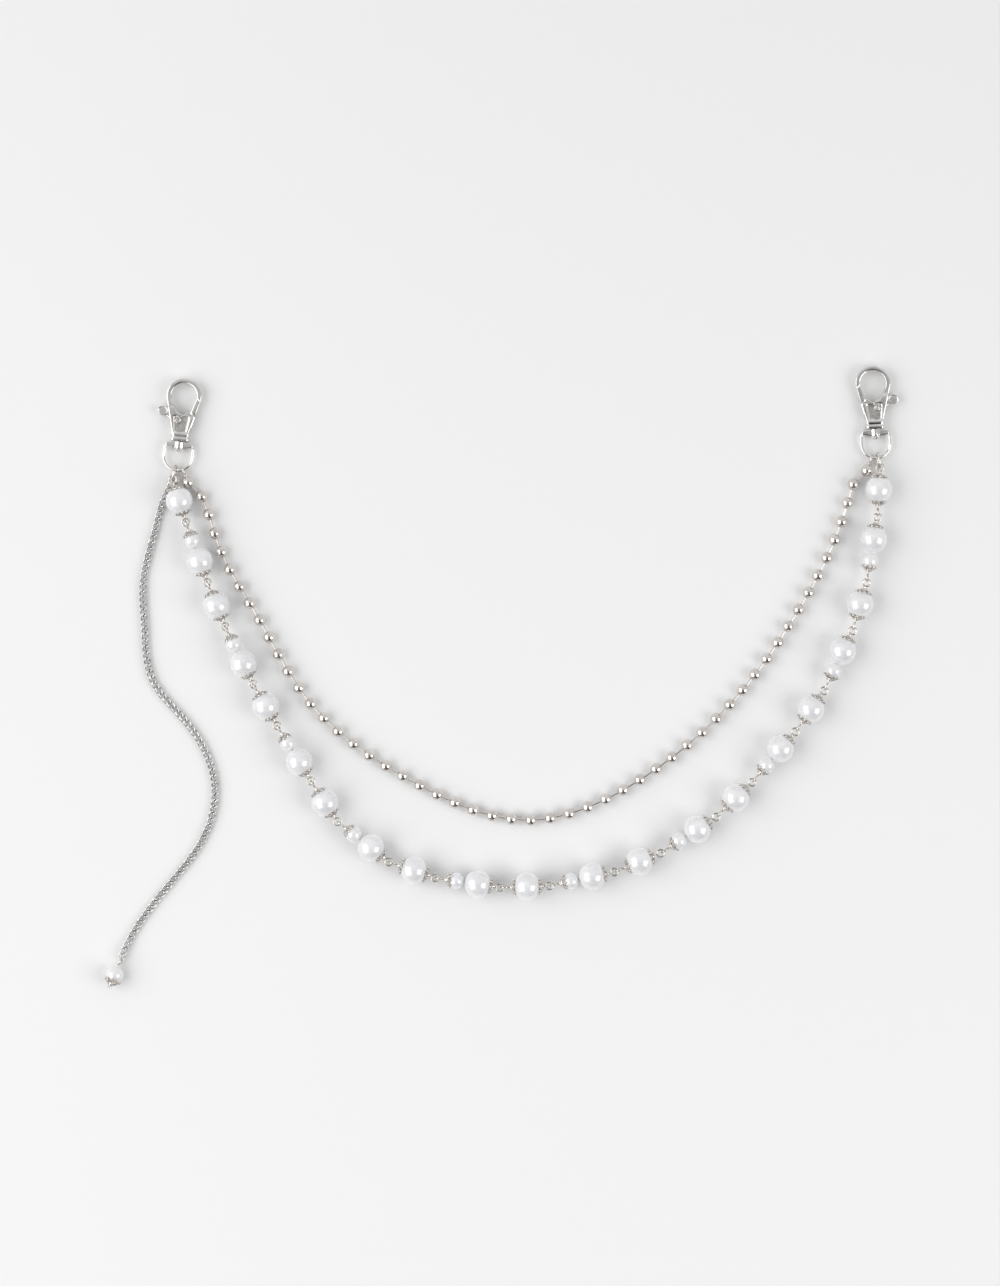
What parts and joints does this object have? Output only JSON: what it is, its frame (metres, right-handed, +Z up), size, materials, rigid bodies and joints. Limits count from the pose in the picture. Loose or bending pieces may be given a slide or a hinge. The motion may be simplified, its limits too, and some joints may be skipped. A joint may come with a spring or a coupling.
{
  "type": "layered pearl trouser chain",
  "caption": "Layered trouser chain laid flat: a pearl chain and a ball chain hang between two swivel snaps, with a curb chain tail ending in a pearl drop.",
  "frame": {"origin": "middle of the footprint, on the surface the chain lies on", "axes": "+X from the left snap to the right snap, +Y from the lowest pearl to the snaps, +Z up from the surface"},
  "size_m": [0.2924, 0.2298, 0.01],
  "materials": {
    "pearl": "white pearl coating, glossy",
    "snap": "bright nickel plated zinc casting, polished",
    "pin_wire": "bright nickel plated wire and stamped bead caps",
    "ball_chain": "bright nickel plated hollow balls, polished",
    "curb_chain": "bright nickel plated twisted links"
  },
  "bodies": {
    "left_hook": {"left_hook": "snap", "left_rivet": "snap"},
    "left_trigger": {"left_trigger": "snap"},
    "left_swivel_eye": {"left_swivel_eye": "snap"},
    "left_jump_ring": {"left_jump_ring": "snap"},
    "unit_01": {"pearls_01": "pearl", "eye_pin_01": "pin_wire"},
    "unit_02": {"pearls_02": "pearl", "eye_pin_02": "pin_wire"},
    "unit_03": {"pearls_03": "pearl", "eye_pin_03": "pin_wire"},
    "unit_04": {"pearls_04": "pearl", "eye_pin_04": "pin_wire"},
    "unit_05": {"pearls_05": "pearl", "eye_pin_05": "pin_wire"},
    "unit_06": {"pearls_06": "pearl", "eye_pin_06": "pin_wire"},
    "unit_07": {"pearls_07": "pearl", "eye_pin_07": "pin_wire"},
    "unit_08": {"pearls_08": "pearl", "eye_pin_08": "pin_wire"},
    "unit_09": {"pearls_09": "pearl", "eye_pin_09": "pin_wire"},
    "unit_10": {"pearls_10": "pearl", "eye_pin_10": "pin_wire"},
    "unit_11": {"pearls_11": "pearl", "eye_pin_11": "pin_wire"},
    "unit_12": {"pearls_12": "pearl", "eye_pin_12": "pin_wire"},
    "unit_13": {"pearls_13": "pearl", "eye_pin_13": "pin_wire"},
    "unit_14": {"pearls_14": "pearl", "eye_pin_14": "pin_wire"},
    "unit_15": {"pearls_15": "pearl", "eye_pin_15": "pin_wire"},
    "unit_16": {"pearls_16": "pearl", "eye_pin_16": "pin_wire"},
    "unit_17": {"pearls_17": "pearl", "eye_pin_17": "pin_wire"},
    "unit_18": {"pearls_18": "pearl", "eye_pin_18": "pin_wire"},
    "unit_19": {"pearls_19": "pearl", "eye_pin_19": "pin_wire"},
    "unit_20": {"pearls_20": "pearl", "eye_pin_20": "pin_wire"},
    "unit_21": {"pearls_21": "pearl", "eye_pin_21": "pin_wire"},
    "right_jump_ring": {"right_jump_ring": "snap"},
    "right_swivel_eye": {"right_swivel_eye": "snap"},
    "right_hook": {"right_hook": "snap", "right_rivet": "snap"},
    "right_trigger": {"right_trigger": "snap"},
    "ball_run_1": {"ball_run_1": "ball_chain"},
    "ball_run_2": {"ball_run_2": "ball_chain"},
    "ball_run_3": {"ball_run_3": "ball_chain"},
    "ball_run_4": {"ball_run_4": "ball_chain"},
    "tail_upper": {"tail_chain_upper": "curb_chain"},
    "tail_lower": {"tail_chain_lower": "curb_chain"},
    "drop": {"drop_pearl": "pearl", "drop_pin": "pin_wire"}
  },
  "joints": [
    {"name": "left_trigger_hinge", "type": "hinge", "parent": "left_hook", "child": "left_trigger", "pos_m": [-0.11926, 0.09473, 0.00227], "axis": [0, 0, 1], "range_deg": [0, 25], "stiffness_Nm_per_rad": 0.01, "springref_deg": -11.46},
    {"name": "left_swivel", "type": "hinge", "parent": "left_hook", "child": "left_swivel_eye", "pos_m": [-0.1192, 0.08568, 0.00227], "axis": [0.1045, 0.9945, 0], "continuous": true},
    {"name": "left_ring_swing", "type": "hinge", "parent": "left_swivel_eye", "child": "left_jump_ring", "pos_m": [-0.12065, 0.07635, 0.00227], "axis": [-0.9816, 0.1908, 0], "range_deg": [-30, 30]},
    {"name": "unit_01_swing", "type": "hinge", "parent": "left_jump_ring", "child": "unit_01", "pos_m": [-0.12084, 0.07532, 0.00355], "axis": [-0.9816, 0.1908, 0], "range_deg": [0, 15]},
    {"name": "unit_02_swing", "type": "hinge", "parent": "unit_01", "child": "unit_02", "pos_m": [-0.11621, 0.0562, 0.00502], "axis": [0.9426, 0.3338, 0], "range_deg": [-30, 30]},
    {"name": "unit_03_swing", "type": "hinge", "parent": "unit_02", "child": "unit_03", "pos_m": [-0.1083, 0.03398, 0.00502], "axis": [-0.9272, -0.3746, 0], "range_deg": [-30, 30]},
    {"name": "unit_04_swing", "type": "hinge", "parent": "unit_03", "child": "unit_04", "pos_m": [-0.10164, 0.01772, 0.00502], "axis": [0.8988, 0.4384, 0], "range_deg": [-30, 30]},
    {"name": "unit_05_swing", "type": "hinge", "parent": "unit_04", "child": "unit_05", "pos_m": [-0.09115, -0.0036, 0.00502], "axis": [-0.866, -0.5, 0], "range_deg": [-30, 30]},
    {"name": "unit_06_swing", "type": "hinge", "parent": "unit_05", "child": "unit_06", "pos_m": [-0.08225, -0.01897, 0.00502], "axis": [0.8526, 0.5225, 0], "range_deg": [-30, 30]},
    {"name": "unit_07_swing", "type": "hinge", "parent": "unit_06", "child": "unit_07", "pos_m": [-0.0697, -0.03937, 0.00502], "axis": [-0.8387, -0.5446, 0], "range_deg": [-30, 30]},
    {"name": "unit_08_swing", "type": "hinge", "parent": "unit_07", "child": "unit_08", "pos_m": [-0.05958, -0.05409, 0.00502], "axis": [0.6157, 0.788, 0], "range_deg": [-30, 30]},
    {"name": "unit_09_swing", "type": "hinge", "parent": "unit_08", "child": "unit_09", "pos_m": [-0.04032, -0.06851, 0.00502], "axis": [-0.3256, -0.9455, 0], "range_deg": [-30, 30]},
    {"name": "unit_10_swing", "type": "hinge", "parent": "unit_09", "child": "unit_10", "pos_m": [-0.02311, -0.07412, 0.00502], "axis": [0.1478, 0.989, 0], "range_deg": [-30, 30]},
    {"name": "unit_11_swing", "type": "hinge", "parent": "unit_10", "child": "unit_11", "pos_m": [0.00095, -0.0774, 0.00502], "axis": [0.0349, -0.9994, 0], "range_deg": [-30, 30]},
    {"name": "unit_12_swing", "type": "hinge", "parent": "unit_11", "child": "unit_12", "pos_m": [0.01921, -0.07645, 0.00502], "axis": [-0.2079, 0.9781, 0], "range_deg": [-30, 30]},
    {"name": "unit_13_swing", "type": "hinge", "parent": "unit_12", "child": "unit_13", "pos_m": [0.04308, -0.07104, 0.00502], "axis": [0.3746, -0.9272, 0], "range_deg": [-30, 30]},
    {"name": "unit_14_swing", "type": "hinge", "parent": "unit_13", "child": "unit_14", "pos_m": [0.05997, -0.06382, 0.00502], "axis": [-0.5446, 0.8387, 0], "range_deg": [-30, 30]},
    {"name": "unit_15_swing", "type": "hinge", "parent": "unit_14", "child": "unit_15", "pos_m": [0.08029, -0.05019, 0.00502], "axis": [0.6947, -0.7193, 0], "range_deg": [-30, 30]},
    {"name": "unit_16_swing", "type": "hinge", "parent": "unit_15", "child": "unit_16", "pos_m": [0.0934, -0.03729, 0.00502], "axis": [-0.7604, 0.6494, 0], "range_deg": [-30, 30]},
    {"name": "unit_17_swing", "type": "hinge", "parent": "unit_16", "child": "unit_17", "pos_m": [0.10916, -0.01854, 0.00502], "axis": [0.8192, -0.5736, 0], "range_deg": [-30, 30]},
    {"name": "unit_18_swing", "type": "hinge", "parent": "unit_17", "child": "unit_18", "pos_m": [0.11945, -0.00331, 0.00502], "axis": [-0.9026, 0.4305, 0], "range_deg": [-30, 30]},
    {"name": "unit_19_swing", "type": "hinge", "parent": "unit_18", "child": "unit_19", "pos_m": [0.1297, 0.01891, 0.00502], "axis": [0.9613, -0.2756, 0], "range_deg": [-30, 30]},
    {"name": "unit_20_swing", "type": "hinge", "parent": "unit_19", "child": "unit_20", "pos_m": [0.13456, 0.03665, 0.00502], "axis": [-0.9863, 0.165, 0], "range_deg": [-30, 30]},
    {"name": "unit_21_swing", "type": "hinge", "parent": "unit_20", "child": "unit_21", "pos_m": [0.13839, 0.06083, 0.00502], "axis": [0.9986, -0.0523, 0], "range_deg": [-30, 30]},
    {"name": "right_ring_swing", "type": "hinge", "parent": "unit_21", "child": "right_jump_ring", "pos_m": [0.1389, 0.07984, 0.00355], "axis": [0.9903, 0.1392, 0], "range_deg": [-30, 30]},
    {"name": "right_eye_swing", "type": "hinge", "parent": "right_jump_ring", "child": "right_swivel_eye", "pos_m": [0.13875, 0.08087, 0.00227], "axis": [-0.9903, -0.1392, 0], "range_deg": [-30, 30]},
    {"name": "right_swivel", "type": "hinge", "parent": "right_swivel_eye", "child": "right_hook", "pos_m": [0.1378, 0.09026, 0.00227], "axis": [-0.0523, 0.9986, 0], "continuous": true},
    {"name": "right_trigger_hinge", "type": "hinge", "parent": "right_hook", "child": "right_trigger", "pos_m": [0.13833, 0.0993, 0.00227], "axis": [0, 0, -1], "range_deg": [0, 25], "stiffness_Nm_per_rad": 0.01, "springref_deg": -11.46},
    {"name": "ball_run_1_swing", "type": "hinge", "parent": "left_swivel_eye", "child": "ball_run_1", "pos_m": [-0.11757, 0.07608, 0.00227], "axis": [0.9336, 0.3584, 0], "range_deg": [-30, 30]},
    {"name": "ball_run_2_swing", "type": "hinge", "parent": "ball_run_1", "child": "ball_run_2", "pos_m": [-0.07066, -0.00976, 0.00227], "axis": [-0.7688, -0.6394, 0], "range_deg": [-8, 8]},
    {"name": "ball_run_4_swing", "type": "hinge", "parent": "right_swivel_eye", "child": "ball_run_4", "pos_m": [0.13618, 0.08057, 0.00227], "axis": [0.9483, -0.3173, 0], "range_deg": [-30, 30]},
    {"name": "ball_run_3_swing", "type": "hinge", "parent": "ball_run_4", "child": "ball_run_3", "pos_m": [0.0889, -0.00473, 0.00227], "axis": [0.7665, -0.6422, 0], "range_deg": [-8, 8]},
    {"name": "tail_swing", "type": "hinge", "parent": "left_jump_ring", "child": "tail_upper", "pos_m": [-0.1213, 0.07297, 0.00176], "axis": [0, 0, -1], "range_deg": [0, 30]},
    {"name": "tail_link_hinge", "type": "hinge", "parent": "tail_upper", "child": "tail_lower", "pos_m": [-0.11522, -0.01833, 0.0012], "axis": [0.776, 0.6307, 0], "range_deg": [-12, 12]},
    {"name": "drop_hinge", "type": "hinge", "parent": "tail_lower", "child": "drop", "pos_m": [-0.14116, -0.10515, 0.00174], "axis": [-0.9384, 0.3455, 0], "range_deg": [-40, 40]}
  ]
}
